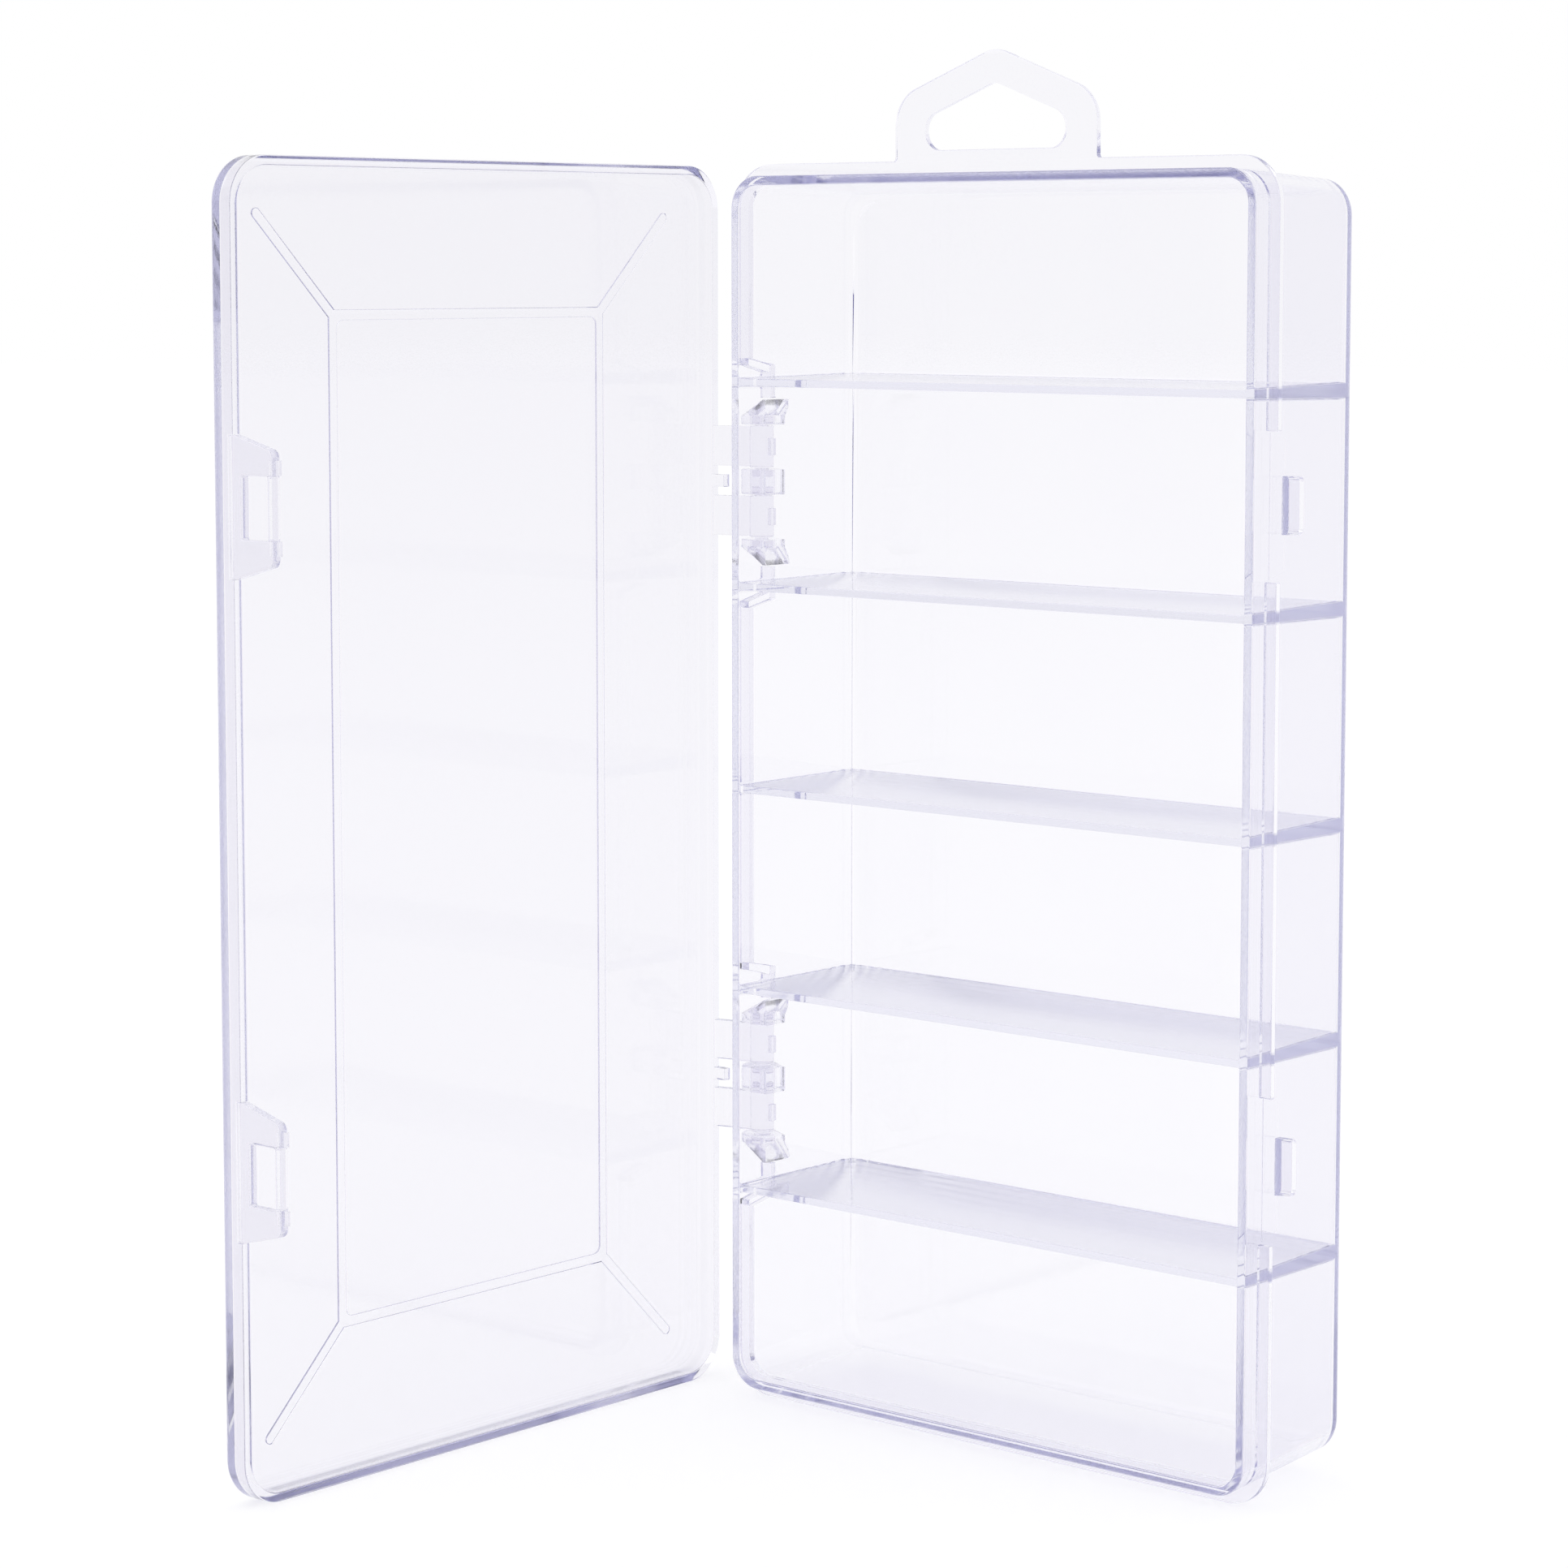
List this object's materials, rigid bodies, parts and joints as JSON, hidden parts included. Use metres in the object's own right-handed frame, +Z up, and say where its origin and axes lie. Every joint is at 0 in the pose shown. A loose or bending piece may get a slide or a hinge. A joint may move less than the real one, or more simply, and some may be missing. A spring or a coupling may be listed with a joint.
{
  "type": "small parts box",
  "caption": "Clear plastic parts box with crosswise dividers, a snap lid on moulded hinges, two latch tabs and a hang tab, standing on its short end with the lid open.",
  "frame": {"origin": "bottom centre of the box's bounding box as pictured, standing on its short end with the lid open a quarter turn", "axes": "+Z up along the tray's long side, tray opening towards -Y, lid hinged on the -X side with its latch edge towards -Y"},
  "size_m": [0.1194, 0.1244, 0.2166],
  "materials": {
    "tray_plastic": "clear injection-moulded plastic with a faint lavender tint",
    "divider_plastic": "clear moulded plastic, thin plates",
    "hinge_plastic": "clear moulded plastic, thick sections that look darker",
    "lid_plastic": "clear moulded plastic panel",
    "latch_plastic": "clear moulded plastic, small thick sections"
  },
  "bodies": {
    "tray": {"tray_shell": "tray_plastic", "divider_1": "divider_plastic", "divider_2": "divider_plastic", "divider_3": "divider_plastic", "divider_4": "divider_plastic", "divider_5": "divider_plastic", "hang_tab": "tray_plastic", "hinge_lug_upper_1": "hinge_plastic", "hinge_lug_upper_2": "hinge_plastic", "hinge_lug_upper_3": "hinge_plastic", "hinge_lug_lower_1": "hinge_plastic", "hinge_lug_lower_2": "hinge_plastic", "hinge_lug_lower_3": "hinge_plastic", "catch_upper": "latch_plastic", "catch_lower": "latch_plastic"},
    "lid": {"lid_shell": "lid_plastic", "lid_knuckle_upper_1": "hinge_plastic", "lid_knuckle_upper_2": "hinge_plastic", "lid_knuckle_lower_1": "hinge_plastic", "lid_knuckle_lower_2": "hinge_plastic"},
    "latch_upper": {"latch_tab_upper": "latch_plastic"},
    "latch_lower": {"latch_tab_lower": "latch_plastic"}
  },
  "joints": [
    {"name": "lid_hinge", "type": "hinge", "parent": "tray", "child": "lid", "pos_m": [-0.04712, 0.0443, 0.1], "axis": [0, 0, -1], "range_deg": [-90, 90]},
    {"name": "latch_upper_flex", "type": "hinge", "parent": "lid", "child": "latch_upper", "pos_m": [-0.05552, -0.06145, 0.14905], "axis": [0, 0, -1], "range_deg": [0, 14]},
    {"name": "latch_lower_flex", "type": "hinge", "parent": "lid", "child": "latch_lower", "pos_m": [-0.05552, -0.06145, 0.05095], "axis": [0, 0, -1], "range_deg": [0, 14]}
  ]
}
